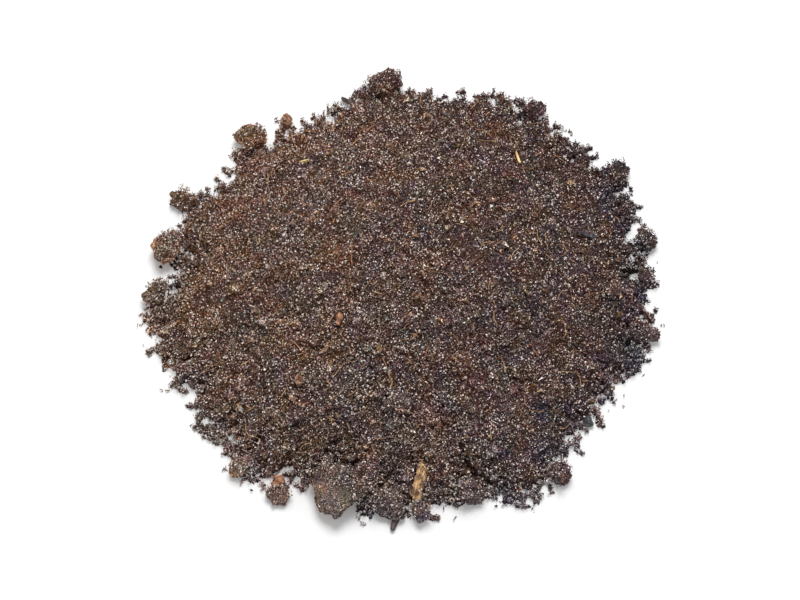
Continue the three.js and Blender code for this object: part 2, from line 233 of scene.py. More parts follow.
# Painted shade across the heap: crumb darker to the right and to the back
PAINTED_SHADE_RIGHT = 0.0029  # to a millimetre
PAINTED_SHADE_BACK = 0.0027
SPREAD_MIDDLE = -0.1  # of the speckle, as a power of e
PAINTED_GLINT_CHANCE = 0.033  # below it a crumb is much lighter: a tan crumb with a painted glint
PAINTED_GLINT_LIGHT = 3.4
BLACK_CHANCE = 0.9  # above it a crumb is black
BLACK_LIGHT = 0.22
FACET_MIDDLE = -0.3  # share of the spread, as a power of e

# Brightness of other bits: least and most
FLAKE_LIGHT = (0.35, 1.0)
GRAIN_LIGHT = (0.8, 1.0)
FIBRE_LIGHT = (0.6, 1.3)

CLOD_TINTS = {"clod": (0.95, 0.92, 0.85), "dark_clod": (0.8, 0.84, 0.86), "warm_clod": (1.7, 1.6, 1.3)}

# By slot: colour, patchiness, lumps, grooves, raggedness of the ends, and how short the grain is
CHIP_LOOKS = {
    "bark": (BARK_RED, 0.5, 1.8, 0.9, 0.8, 0.4),
    "pebble": (PEBBLE_GREY, 0.4, 0.9, 0.5, 0.3, 0.7),
    "twig": (TWIG_GREY, 0.3, 0.5, 0.6, 1.2, 0.15),
    "straw": (STRAW_YELLOW, 0.1, 0.2, 0.25, 0.8, 0.1),
    "wood": (WOOD_BROWN, 0.9, 1.8, 1.1, 3.0, 0.2),
}

# Materials
MOTTLE_WIDTH = 0.4
MOTTLE_RANGE = (0.36, 0.64)  # noise of the darkest and the lightest mottle
BUMP_STRENGTH = 0.8
BUMP_HEIGHT = 0.15
SOIL_GLOSS = 0.3
PALEST = 0.95  # most light that a facet sends back

# Places on the square map of a piece, as shares of its side
CELL_MARGIN = 0.12  # round the triangle in a cell
MAP_TOP = 0.9  # side of the skin's top
MAP_FOOT_START = 0.91  # where the skin's foot begins
MAP_FOOT = 0.08  # its side

# Numbers that mix the bits of a cell's place into noise
MIX_X = 374761393
MIX_Y = 668265263
MIX_Z = 1442695041
MIX_AGAIN = 1274126177
LOW_32 = 0xFFFFFFFF
LOW_16 = 0xFFFF
SEED_SHIFT = 31.7  # cells between the noise of one seed and the next


# Small helpers

def linear(colour):
    """A colour as seen, in 0 to 255 steps, as linear values."""
    share = np.asarray(colour, float) / 255
    return np.where(share <= 0.04045, share / 12.92, ((share + 0.055) / 1.055) ** 2.4)


def seen(colour):
    """Linear values as a colour as seen, in 0 to 255 steps."""
    curve = 1.055 * np.maximum(colour, 0) ** (1 / 2.4) - 0.055
    return 255 * np.where(colour <= 0.0031308, 12.92 * colour, curve)


def in_range(colour):
    return np.clip(colour, DARKEST, LIGHTEST)


def smooth_noise(points, width, seed):
    """Smooth noise from 0 to 1 at points, with features about so wide."""
    spots = points / width + SEED_SHIFT * seed
    cells = np.floor(spots).astype(np.int64)
    share = spots - cells
    share = share * share * (3 - 2 * share)
    total = np.zeros(len(points))
    for corner in itertools.product((0, 1), repeat=3):
        x, y, z = (cells + corner).T
        mixed = (x * MIX_X + y * MIX_Y + z * MIX_Z) & LOW_32
        mixed = ((mixed ^ (mixed >> 13)) * MIX_AGAIN) & LOW_32
        value = ((mixed ^ (mixed >> 16)) & LOW_16) / LOW_16
        weight = np.prod(np.where(corner, share, 1 - share), axis=1)
        total += weight * value
    return total


def layered_noise(points, layers):
    """The sum of layers of smooth noise, each with a width, a share and a seed."""
    return sum(share * smooth_noise(points, width, seed) for width, share, seed in layers)


def random_turns(rng, count):
    """Random rotation matrices."""
    turns = rng.normal(size=(4, count))
    w, x, y, z = turns / np.linalg.norm(turns, axis=0)
    return np.stack([
        np.stack([1 - 2 * (y * y + z * z), 2 * (x * y - z * w), 2 * (x * z + y * w)], 1),
        np.stack([2 * (x * y + z * w), 1 - 2 * (x * x + z * z), 2 * (y * z - x * w)], 1),
        np.stack([2 * (x * z - y * w), 2 * (y * z + x * w), 1 - 2 * (x * x + y * y)], 1),
    ], 1)


def vertex_normals(vertices, triangles):
    a, b, c = (vertices[triangles[:, i]] for i in range(3))
    faces = np.cross(b - a, c - a)
    normals = np.zeros_like(vertices)
    for i in range(3):
        np.add.at(normals, triangles[:, i], faces)
    return normals / np.maximum(np.linalg.norm(normals, axis=1, keepdims=True), TINY)


def on_bearings(bearings, reach):
    """Places on the table at bearings in radians and distances from the middle."""
    return np.stack([reach * np.cos(bearings), reach * np.sin(bearings), np.zeros(len(bearings))], 1)


# Reading the frame

slot_of = {part["node"]: part["material_slot"] for part in frame["record"]["subparts"]}


def bmesh_arrays(solid):
    """The vertices and triangles of a bmesh, which is freed."""
    bmesh.ops.triangulate(solid, faces=solid.faces)
    solid.verts.index_update()
    vertices = np.array([vertex.co for vertex in solid.verts])
    triangles = np.array([[vertex.index for vertex in face.verts] for face in solid.faces])
    solid.free()
    return vertices, triangles


def node_mesh(node):
    """A node's vertices in millimetres, each shared one once, and its triangles."""
    solid = bmesh.new()
    solid.from_mesh(frame["nodes"][node].data)
    bmesh.ops.remove_doubles(solid, verts=solid.verts, dist=SAME_SPOT * MM)
    vertices, triangles = bmesh_arrays(solid)
    return vertices / MM, triangles


def finer(vertices, triangles, edge):
    """Each triangle as four, until the mean edge is short enough."""
    while np.linalg.norm(np.diff(vertices[triangles], axis=1), axis=2).mean() > edge:
        sides = np.concatenate([triangles[:, [0, 1]], triangles[:, [1, 2]], triangles[:, [2, 0]]])
        unique, which = np.unique(np.sort(sides, axis=1), axis=0, return_inverse=True)
        ab, bc, ca = (len(vertices) + which).reshape(3, -1)
        a, b, c = triangles.T
        fours = ((a, ab, ca), (ab, b, bc), (ca, bc, c), (ab, bc, ca))
        vertices = np.concatenate([vertices, vertices[unique].mean(axis=1)])
        triangles = np.concatenate([np.stack(corners, 1) for corners in fours])
    return vertices, triangles


# Pieces

def cell_map(count):
    """Places on a square map: each triangle has a cell of its own."""
    side = math.ceil(math.sqrt(count))
    near, far = CELL_MARGIN, 1 - CELL_MARGIN
    corners = np.array([(near, near), (far, near), (near, far)])
    order = np.arange(count)
    cells = np.stack([order % side, order // side], 1)
    return (cells[:, None] + corners[None]) / side


def make_piece(name, vertices, triangles, colours, material, places=None, smooth=False):
    """A mesh piece from millimetres, with a colour to each triangle and its places on the map."""
    if places is None:
        places = cell_map(len(triangles))
    mesh = bpy.data.meshes.new(name)
    mesh.vertices.add(len(vertices))
    mesh.vertices.foreach_set("co", (vertices * MM).astype(np.float32).ravel())
    mesh.loops.add(3 * len(triangles))
    mesh.loops.foreach_set("vertex_index", triangles.astype(np.int32).ravel())
    mesh.polygons.add(len(triangles))
    mesh.polygons.foreach_set("loop_start", np.arange(0, 3 * len(triangles), 3, dtype=np.int32))
    mesh.update(calc_edges=True)
    if smooth:
        mesh.shade_smooth()
    else:
        mesh.shade_flat()
    shade = mesh.attributes.new("crumb_colour", "FLOAT_COLOR", "FACE")
    within = colours / np.maximum(colours.max(axis=1, keepdims=True) / PALEST, 1)
    opaque = np.concatenate([within, np.ones((len(colours), 1))], axis=1)
    shade.data.foreach_set("color", opaque.astype(np.float32).ravel())
    layer = mesh.uv_layers.new(name="OFBake")
    layer.data.foreach_set("uv", places.astype(np.float32).ravel())
    mesh.materials.append(material)
    piece = bpy.data.objects.new(name, mesh)
    bpy.context.scene.collection.objects.link(piece)
    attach(piece, "root")
    return piece


def joined(meshes):
    """Several meshes as one: vertices, triangles, and the mesh that each triangle came from."""
    counts = np.cumsum([0] + [len(vertices) for vertices, _ in meshes])
    vertices = np.concatenate([vertices for vertices, _ in meshes])
    triangles = np.concatenate([faces + counts[n] for n, (_, faces) in enumerate(meshes)])
    elements = np.concatenate([np.full(len(faces), n) for n, (_, faces) in enumerate(meshes)])
    return vertices, triangles, elements


# Materials

def new_material(name):
    material = bpy.data.materials.new(name)
    material.use_nodes = True
    nodes = material.node_tree.nodes
    return material, nodes, material.node_tree.links, nodes["Principled BSDF"]


def soil_material(name, roughness, speckle):
    """Crumb with its own colours, mottled finely, dull, with a fine grain."""
    material, nodes, links, shader = new_material(name)
    colour = nodes.new("ShaderNodeAttribute")
    colour.attribute_name = "crumb_colour"
    place = nodes.new("ShaderNodeTexCoord")
    mottle = nodes.new("ShaderNodeTexNoise")
    mottle.inputs["Scale"].default_value = 1 / (MOTTLE_WIDTH * MM)
    mottle.inputs["Detail"].default_value = 1
    links.new(place.outputs["Object"], mottle.inputs["Vector"])
    spread = nodes.new("ShaderNodeMapRange")
    spread.inputs["From Min"].default_value = MOTTLE_RANGE[0]
    spread.inputs["From Max"].default_value = MOTTLE_RANGE[1]
    spread.inputs["To Min"].default_value = 1 - speckle
    spread.inputs["To Max"].default_value = 1 + speckle
    links.new(mottle.outputs["Fac"], spread.inputs["Value"])
    shaded = nodes.new("ShaderNodeVectorMath")
    shaded.operation = "SCALE"
    links.new(colour.outputs["Color"], shaded.inputs[0])
    links.new(spread.outputs["Result"], shaded.inputs["Scale"])
    links.new(shaded.outputs["Vector"], shader.inputs["Base Color"])
    bump = nodes.new("ShaderNodeBump")
    bump.inputs["Strength"].default_value = BUMP_STRENGTH
    bump.inputs["Distance"].default_value = BUMP_HEIGHT * MM
    links.new(mottle.outputs["Fac"], bump.inputs["Height"])
    links.new(bump.outputs["Normal"], shader.inputs["Normal"])
    shader.inputs["Roughness"].default_value = roughness
    shader.inputs["Specular IOR Level"].default_value = SOIL_GLOSS
    return material


# Crumb shapes and colours

def double_pyramid(sides):
    """Two pyramids base to base: vertices on a unit ball and triangles."""
    turns = np.linspace(0, 2 * math.pi, sides, endpoint=False)
    vertices = np.concatenate([on_bearings(turns, 1.0), [(0, 0, 1), (0, 0, -1)]])
    side = np.arange(sides)
    beside = np.roll(side, -1)
    upper = np.stack([side, beside, np.full(sides, sides)], 1)
    lower = np.stack([beside, side, np.full(sides, sides + 1)], 1)
    return vertices, np.concatenate([upper, lower])


def tetrahedron():
    """Four triangles with their corners on a unit ball."""
    vertices = np.array([(1, 1, 1), (1, -1, -1), (-1, 1, -1), (-1, -1, 1)]) / math.sqrt(3)
    return vertices, np.array([(0, 1, 2), (0, 3, 1), (0, 2, 3), (1, 3, 2)])


def ball():
    """A ball of 80 triangles."""
    solid = bmesh.new()
    bmesh.ops.create_icosphere(solid, subdivisions=2, radius=1)
    return bmesh_arrays(solid)


SHAPE_FINE = tetrahedron()
SHAPE_CHUNK = double_pyramid(4)
SHAPE_MEDIUM = double_pyramid(5)
SHAPE_COARSE = ball()


def crumb_mesh(rng, shape, centres, radii, slender=0.0):
    """Broken crumbs at their places: vertices, triangles, and the crumb that each triangle belongs to."""
    points, faces = shape
    count = len(centres)
    bumps = CRUMB_SWELL + CRUMB_ROUGHNESS * rng.uniform(-1, 1, (count, len(points), 1))
    sides = radii[:, None] * rng.uniform(*CRUMB_SIDES, (count, 3))
    sides[:, 0] *= 1 + slender * rng.uniform(0, 1, count)
    local = points[None] * bumps * sides[:, None]
    placed = np.einsum("nij,nkj->nki", random_turns(rng, count), local) + centres[:, None]
    placed[:, :, 2] = np.maximum(placed[:, :, 2], 0)
    triangles = faces[None] + (np.arange(count) * len(points))[:, None, None]
    return placed.reshape(-1, 3), triangles.reshape(-1, 3), np.repeat(np.arange(count), len(faces))


def tint(steps, rusty, golden, odd, bright, centres):
    """How far one colour of each crumb stands off its green."""
    x, y, _ = centres.T
    edge = np.clip((np.hypot(x, y) - RIM_BEGINS) / RIM_FADE, 0, 1)
    patchy = steps["plain"] + steps["rusty"] * rusty + steps["golden"] * golden
    flecked = patchy + steps["odd"] * odd + bright
    return flecked + steps["right"] * x + steps["back"] * y + steps["rim"] * edge


def crumb_light(rng, centres, rusty, golden, light, spread):
    """How bright each crumb is: speckled more in some patches, with painted shade to the right and back."""
    x, y, _ = centres.T
    patchy = light * (1 + RUSTY_LIGHT * rusty + GOLDEN_LIGHT * golden)
    # painted shade: darker to the right and to the back
    shade = patchy * (1 - PAINTED_SHADE_RIGHT * x - PAINTED_SHADE_BACK * y)
    speckled = SPECKLED_LEAST + SPECKLED_RANGE * layered_noise(centres, SPECKLED_PATCHES)
    chance = rng.uniform(0, 1, len(centres)) / speckled
    shade *= np.exp(speckled * rng.normal(SPREAD_MIDDLE, spread, len(centres)))
    # a few crumbs much lighter, tan with a painted glint, and a few black
    return shade * np.select([chance < PAINTED_GLINT_CHANCE, chance > BLACK_CHANCE], [PAINTED_GLINT_LIGHT, BLACK_LIGHT], 1)


def crumb_colours(rng, centres, light=1.0, spread=0.6):
    """A colour to each crumb: golden, red and slate patches, warmer on the left and cooler at the rim."""
    rusty = layered_noise(centres, RUSTY_PATCHES) - 1
    golden = layered_noise(centres, GOLDEN_PATCHES) - 1
    green = CRUMB_GREEN * crumb_light(rng, centres, rusty, golden, light, spread) ** (1 / DISPLAY_POWER)
    bright = BRIGHT_STEP * (green - CRUMB_GREEN)
    odd = rng.uniform(0, 1, len(centres))
    red = tint(RED_STEPS, rusty, golden, odd < ODD_SHARE, bright, centres)
    blue = tint(BLUE_STEPS, rusty, golden, odd > 1 - ODD_SHARE, bright, centres)
    return linear(in_range(np.stack([green + red, green, green - blue], 1)))


def by_facet(rng, colours, spread=0.45):
    """Colours lighter or darker facet by facet, with the same steps between their red, green and blue."""
    steps = seen(colours)
    change = np.exp(rng.normal(FACET_MIDDLE * spread, spread, (len(colours), 1))) - 1
    return linear(in_range(steps + change * steps[:, 1:2]))


# The ground that crumbs settle on

class Ground:
    """Heights over the table on a grid, which rise as crumbs settle, and the node that lies there."""

    def __init__(self, nodes):
        self.nodes = nodes
        self.cell = SOLID_CELL
        self.side = int(2 * GRID_HALF / self.cell)
        self.heights = np.zeros((self.side, self.side))
        self.owners = np.full((self.side, self.side), -1)
        for owner, node in enumerate(nodes):
            self.lay(node, owner)
        self.domes = {}

    def lay(self, node, owner):
        """Lays a node's upper surface on the grid."""
        vertices, triangles = node_mesh(node)
        tree = BVHTree.FromPolygons(vertices.tolist(), triangles.tolist())
        low = np.floor((vertices.min(0)[:2] + GRID_HALF) / self.cell).astype(int)
        high = np.ceil((vertices.max(0)[:2] + GRID_HALF) / self.cell).astype(int)
        down = Vector((0, 0, -1))
        for i, j in itertools.product(range(low[0], high[0]), range(low[1], high[1])):
            x, y = (i + 0.5) * self.cell - GRID_HALF, (j + 0.5) * self.cell - GRID_HALF
            hit = tree.ray_cast(Vector((x, y, ABOVE_ALL)), down)[0]
            if hit is not None and hit.z > self.heights[i, j]:
                self.heights[i, j] = hit.z
                self.owners[i, j] = owner

    def lay_skirts(self):
        """How near each cell is to a clod: 1 well inside one, 0 well away from all."""
        self.skirts = self.on_slots((*CLOD_TINTS, "pebble"))[self.owners].astype(float)
        for axis in (0, 1, 0, 1):
            steps = [np.roll(self.skirts, step, axis) for step in range(-SKIRT_BLUR, SKIRT_BLUR + 1)]
            self.skirts = np.mean(steps, axis=0)

    def lay_bare(self):
        """Marks the cells of the bits that stay bare, and those round them."""
        self.bare = np.isin(self.owners, [self.nodes.index(node) for node in BARE_NODES])
        for axis in (0, 1):
            steps = [np.roll(self.bare, step, axis) for step in range(-BARE_MARGIN, BARE_MARGIN + 1)]
            self.bare = np.any(steps, axis=0)

    def sink_heap(self, skin_rim):
        """Lowers the heap and the clods to their skins, and gives the heap's foot a slope."""
        middles = (np.arange(self.side) + 0.5) * self.cell - GRID_HALF
        x, y = np.meshgrid(middles, middles, indexing="ij")
        inside = rim_at(skin_rim, np.arctan2(y, x)) - np.hypot(x, y)
        skin = np.maximum(np.minimum(self.heights - SKIN_DEPTH, FOOT_SLOPE * inside), 0)
        clods = self.on_slots(CLOD_TINTS)[self.owners]
        self.heights = np.where(self.owners == 0, skin, np.maximum(self.heights - CLOD_DEPTH * clods, 0))

    def refine(self):
        """Splits each cell into several, for the crumbs."""
        parts = round(self.cell / CRUMB_CELL)
        self.heights = self.heights.repeat(parts, 0).repeat(parts, 1)
        self.owners = self.owners.repeat(parts, 0).repeat(parts, 1)
        self.skirts = self.skirts.repeat(parts, 0).repeat(parts, 1)
        self.bare = self.bare.repeat(parts, 0).repeat(parts, 1)
        self.cell, self.side = CRUMB_CELL, self.side * parts

    def on_slots(self, slots):
        """For each owner whether its slot is among these, with False for no owner as the last."""
        return np.array([slot_of[node] in slots for node in self.nodes] + [False])

    def cells(self, places):
        cells = ((places[:, :2] + GRID_HALF) / self.cell).astype(int)
        return tuple(np.clip(cells, 0, self.side - 1).T)

    def at(self, places):
        return self.heights[self.cells(places)]

    def owner(self, places):
        return self.owners[self.cells(places)]

    def skirt(self, places):
        return self.skirts[self.cells(places)]

    def is_bare(self, places):
        return self.bare[self.cells(places)]

    def dome(self, reach):
        """A round cap of this many cells: 1 at the middle, 0 at the rim, far below outside."""
        if reach not in self.domes:
            steps = np.arange(-reach, reach + 1)
            squares = (steps[:, None] ** 2 + steps[None] ** 2) / (reach + 0.5) ** 2
            self.domes[reach] = np.where(squares < 1, np.sqrt(np.maximum(1 - squares, 0)), FAR_BELOW)
        return self.domes[reach]

    def window(self, x, y, radius):
        """The heights under a crumb, and the crumb's cap."""
        reach = max(1, round(radius / self.cell))
        i, j = int((x + GRID_HALF) / self.cell), int((y + GRID_HALF) / self.cell)
        return self.heights[i - reach:i + reach + 1, j - reach:j + reach + 1], self.dome(reach)

    def rest(self, x, y, radius):
        """The height at which the middle of a round crumb comes to rest here."""
        window, dome = self.window(x, y, radius)
        return (window + radius * dome).max()

    def settle(self, x, y, radius, sink):
        """Rests a crumb here, sunk by a share of its radius, and returns the height of its middle."""
        middle = self.rest(x, y, radius) - sink * radius
        window, dome = self.window(x, y, radius)
        np.maximum(window, middle + radius * dome, out=window)
        return middle


# The rim and the holes near it

def rim_radii(ground):
    """The distance of the heap's foot from the middle, by degree of bearing."""
    bearings = np.radians(np.arange(360))
    reaches = np.arange(RIM_LEAST, GRID_HALF - GRID_MARGIN, RIM_STEP)
    places = on_bearings(np.repeat(bearings, len(reaches)), np.tile(reaches, 360))
    covered = (ground.owner(places) == 0).reshape(360, -1)
    last = covered.shape[1] - 1 - covered[:, ::-1].argmax(1)
    return reaches[last]


def rim_at(rim, bearings):
    return np.interp(np.degrees(bearings) % 360, np.arange(361), np.append(rim, rim[0]))


def inside_rim(rim, spots):
    """How far places lie inside the rim of the solid."""
    return rim_at(rim, np.arctan2(spots[:, 1], spots[:, 0])) - np.hypot(spots[:, 0], spots[:, 1])


def depth_in_crumb(ground, rim, spots):
    """How far places lie inside the ragged edge of the crumb, about: below 0 lie holes and bare table."""
    bearings = np.degrees(np.arctan2(spots[:, 1], spots[:, 0]))
    depth = inside_rim(rim, spots)
    depth += np.minimum(depth + ISLANDS_END, 0) + CLOD_SKIRT * ground.skirt(spots)
    for bearing, extra in FOOT_TUFTS:
        away = (bearings - bearing + 180) % 360 - 180
        depth += extra * np.exp(-(away / TUFT_SPREAD) ** 2)
    flat = spots * (1, 1, 0)
    return depth - FOOT_RAGGEDNESS * (layered_noise(flat, FOOT_LOBES) - 0.5)


def clear_of_holes(ground, rim, spots, radii):
    """Which places have crumb under them, and about a radius away on all sides."""
    clear = depth_in_crumb(ground, rim, spots) > 0
    for bearing in np.linspace(0, 2 * math.pi, HOLE_SIDES, endpoint=False):
        beside = spots + on_bearings(np.full(len(spots), bearing), HOLE_CLEARANCE * radii)
        clear &= depth_in_crumb(ground, rim, beside) > 0
    return clear


def skin_radii(ground, rim):
    """The distance of the skin's edge from the middle, by degree: inside the rim and the holes near it."""
    bearings = np.radians(np.arange(360))
    insets = np.arange(SKIN_INSET, FOOT_INSIDE, RIM_STEP)
    reaches = (rim[:, None] - insets).ravel()
    places = on_bearings(np.repeat(bearings, len(insets)), reaches)
    hole = (depth_in_crumb(ground, rim, places) < 0).reshape(360, -1)
    return rim - np.where(hole, insets + SKIN_CLEARANCE, SKIN_INSET).max(1)


# The heap

def skin_rings(skin_rim):
    """Places in rings of 6, 12, 18 and more round the middle, and the triangles between them."""
    points = [np.zeros((1, 3))]
    triangles = []
    start = [0] + [1 + 3 * ring * (ring - 1) for ring in range(1, SKIN_RINGS + 2)]
    for ring in range(1, SKIN_RINGS + 1):
        bearings = np.linspace(0, 2 * math.pi, 6 * ring, endpoint=False)
        points.append(on_bearings(bearings, rim_at(skin_rim, bearings) * ring / SKIN_RINGS))
        step = np.arange(ring)
        width = max(1, 6 * (ring - 1))
        for sector in range(6):
            outer = start[ring] + sector * ring + step
            after = start[ring] + (sector * ring + step + 1) % (6 * ring)
            inner = start[ring - 1] + (sector * (ring - 1) + step) % width
            beside = start[ring - 1] + (sector * (ring - 1) + step + 1) % width
            triangles.append(np.stack([outer, after, inner], 1))
            triangles.append(np.stack([inner, after, beside], 1)[:-1])
    return np.concatenate(points), np.concatenate(triangles), start[SKIN_RINGS]


def skin_heights(rng, ground, places):
    """Heights of the skin: rough crumb, which dips under clods and chips."""
    solid = ground.at(places)
    heights = np.where(ground.owner(places) == 0, solid, np.maximum(solid - SKIN_DIP, 0.5 * solid))
    heights += SKIN_LUMPS * (smooth_noise(places, SKIN_LUMP_WIDTH, SKIN_SEED) - 0.5)
    return heights + rng.uniform(-SKIN_ROUGHNESS, SKIN_ROUGHNESS, len(places))


def heap_skin(rng, ground, skin_rim, material):
    """The rough crumb under the loose crumbs, dark with painted shade, closed by a flat foot on the table.
    """
    vertices, top, edge_start = skin_rings(skin_rim)
    heights = skin_heights(rng, ground, vertices)
    heights[edge_start:] = 0
    vertices[:, 2] = np.maximum(heights, 0)
    edge = np.arange(edge_start, len(vertices))
    vertices = np.concatenate([vertices, [(0, 0, 0)]])
    foot = np.stack([np.roll(edge, -1), edge, np.full(len(edge), len(vertices) - 1)], 1)
    triangles = np.concatenate([top, foot])
    colours = crumb_colours(rng, vertices[triangles].mean(1), light=SKIN_LIGHT_WITH_PAINTED_SHADE)
    places = vertices[triangles][:, :, :2] / (2 * GRID_HALF) + 0.5
    places[:len(top)] *= MAP_TOP
    places[len(top):] = MAP_FOOT_START + MAP_FOOT * places[len(top):]
    skin = make_piece("heap_skin", vertices, triangles, colours, material, places)
    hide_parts("soil_heap")


def scatter(rng, count, rim):
    """Random places over the heap, even by area."""
    bearings = rng.uniform(0, 2 * math.pi, count)
    return on_bearings(bearings, rim_at(rim, bearings) * np.sqrt(rng.uniform(0, 1, count)))


def left_bare(rng, ground, rim, spots, sort):
    """Which places stay free of loose crumb: chips mostly, the caked clod from coarse crumb, and holes."""
    owners = ground.owner(spots)
    chance = rng.uniform(0, 1, len(spots))
    on_chip = ground.on_slots(CHIP_LOOKS)[owners] & (chance < CHIP_BARE)
    on_cake = (owners == ground.nodes.index(CAKED_NODE)) & (sort["least"] > CAKED_LEAST)
    hole = np.zeros(len(spots), bool)
    near_rim = inside_rim(rim, spots) < FOOT_RAGGEDNESS / 2
    hole[near_rim] = ~clear_of_holes(ground, rim, spots[near_rim], (sort["least"] + sort["most"]) / 2)
    hole &= ~ground.on_slots(CLOD_TINTS)[owners]
    return on_chip | on_cake | hole | ground.is_bare(spots)


def rain(rng, ground, rim, sort):
    """Lets crumbs fall on the heap, each into the lowest of a few spots, but straight down at the foot."""
    spots = scatter(rng, sort["count"], rim + FOOT_OUTSIDE)
    spots = spots[~left_bare(rng, ground, rim, spots, sort)]
    share = rng.uniform(0, 1, len(spots)) ** SMALL_SHARE
    radii = sort["least"] + share * (sort["most"] - sort["least"])
    shifts = rng.normal(0, ROLL, (len(spots), sort["tries"], 2))
    shifts[:, 0] = 0
    shifts[inside_rim(rim, spots) < FOOT_INSIDE] = 0
    centres = np.empty((len(spots), 3))
    for n, radius in enumerate(radii):
        options = spots[n, :2] + shifts[n]
        heights = [ground.rest(x, y, radius) for x, y in options]
        x, y = options[int(np.argmin(heights))]
        centres[n] = x, y, ground.settle(x, y, radius, sort["sink"])
    return centres, radii


def foot_spots(rng, rim, count):
    """Random places in the ragged foot."""
    bearings = rng.uniform(0, 2 * math.pi, count)
    return on_bearings(bearings, rim_at(rim, bearings) + rng.uniform(-FOOT_INSIDE, FOOT_OUTSIDE, count))


def foot_plates(rng, ground, rim, material):
    """Flat dark crumbs that cover the table in the lobes of the foot, under the others, with painted shade.
    """
    spots = foot_spots(rng, rim, FOOT_PLATES["count"])
    radii = rng.uniform(FOOT_PLATES["least"], FOOT_PLATES["most"], len(spots))
    clear = clear_of_holes(ground, rim, spots, radii)
    spots, radii = spots[clear], radii[clear]
    vertices, triangles, elements = crumb_mesh(rng, SHAPE_FINE, spots, radii)
    vertices[:, 2] *= PLATE_FLATNESS
    colours = by_facet(rng, crumb_colours(rng, spots, light=PLATE_LIGHT_WITH_PAINTED_SHADE)[elements])
    make_piece("foot_plates", vertices, triangles, colours, material)


def foot_chunks(rng, ground, rim):
    """Chunks of crumb that lie on the table in the lobes of the foot: places and radii."""
    spots = foot_spots(rng, rim, FOOT_CHUNKS["count"])
    radii = rng.uniform(FOOT_CHUNKS["least"], FOOT_CHUNKS["most"], len(spots))
    clear = clear_of_holes(ground, rim, spots, radii) & (ground.owner(spots) <= 0) & ~ground.is_bare(spots)
    spots, radii = spots[clear], radii[clear]
    limits = FOOT_HEIGHT + FOOT_RISE * np.maximum(inside_rim(rim, spots), 0)
    kept = np.zeros(len(spots), bool)
    for n, (x, y, _) in enumerate(spots):
        kept[n] = ground.rest(x, y, radii[n]) < limits[n]
        if kept[n]:
            spots[n, 2] = ground.settle(x, y, radii[n], CHUNK_SINK)
    return spots[kept], radii[kept]


def foot_slivers(rng, ground, rim):
    """Slender crumbs that stick out of the edges of the lobes: places and radii."""
    spots = foot_spots(rng, rim, FOOT_SLIVERS["count"])
    depth = depth_in_crumb(ground, rim, spots)
    spots = spots[(np.abs(depth) < SLIVER_REACH) & (ground.owner(spots) <= 0)]
    radii = rng.uniform(FOOT_SLIVERS["least"], FOOT_SLIVERS["most"], len(spots))
    spots[:, 2] = rng.uniform(*SLIVER_HEIGHTS, len(spots))
    return spots, radii


def loose_crumbs(name, rng, shape, crumbs, material, parts=1, slender=0.0, light=1.0, spread=0.6):
    """Crumbs in a few pieces, dealt out to them in turn."""
    centres, radii = crumbs
    for part in range(parts):
        some = slice(part, None, parts)
        vertices, triangles, elements = crumb_mesh(rng, shape, centres[some], radii[some], slender=slender)
        colours = by_facet(rng, crumb_colours(rng, centres[some], light, spread)[elements])
        make_piece(f"{name}_{part + 1}", vertices, triangles, colours, material)


def flakes(name, rng, shape, crumbs, material, slender):
    """Flakes and slivers of bark and root, which are brighter than the crumb."""
    centres, radii = crumbs
    vertices, triangles, elements = crumb_mesh(rng, shape, centres, radii, slender=slender)
    which = rng.integers(len(FLAKE_COLOURS), size=len(centres))
    shades = linear(FLAKE_COLOURS)[which] * rng.uniform(*FLAKE_LIGHT, (len(centres), 1))
    make_piece(name, vertices, triangles, by_facet(rng, shades[elements]), material)


def pale_grains_painted_glint(rng, ground, rim, material):
    """Pale grains of sand and grit in the crumb, near white: partly their colour, partly a painted glint."""
    centres, radii = rain(rng, ground, rim, PALE_AND_PAINTED_GLINT)
    some = layered_noise(centres, SPECKLED_PATCHES) > rng.uniform(*GRAIN_THRESHOLDS, len(centres))
    centres, radii = centres[some], radii[some]
    vertices, triangles, elements = crumb_mesh(rng, SHAPE_FINE, centres, radii)
    shades = linear(GRAIN_PALE_AND_PAINTED_GLINT) * rng.uniform(*GRAIN_LIGHT, (len(centres), 1))
    make_piece("pale_grains_painted_glint", vertices, triangles, shades[elements], material)


# Fibres

def tube(points, radii, sides):
    """A closed tube along points: vertices and triangles."""
    ahead = np.gradient(points, axis=0)
    ahead /= np.linalg.norm(ahead, axis=1, keepdims=True)
    across = np.cross(ahead, NEARLY_UP)
    across /= np.linalg.norm(across, axis=1, keepdims=True)
    upward = np.cross(across, ahead)
    turns = np.linspace(0, 2 * math.pi, sides, endpoint=False)[None, :, None]
    outward = np.cos(turns) * across[:, None] + np.sin(turns) * upward[:, None]
    rings = points[:, None] + radii[:, None, None] * outward
    vertices = np.concatenate([rings.reshape(-1, 3), points[:1], points[-1:]])
    side = np.arange(sides)
    beside = np.roll(side, -1)
    last = (len(points) - 1) * sides
    triangles = [
        np.stack([beside, np.full(sides, len(vertices) - 2), side], 1),
        np.stack([last + side, np.full(sides, len(vertices) - 1), last + beside], 1),
    ]
    for low in range(0, last, sides):
        high = low + sides
        triangles.append(np.stack([low + side, high + side, low + beside], 1))
        triangles.append(np.stack([low + beside, high + side, high + beside], 1))
    return vertices, np.concatenate(triangles)


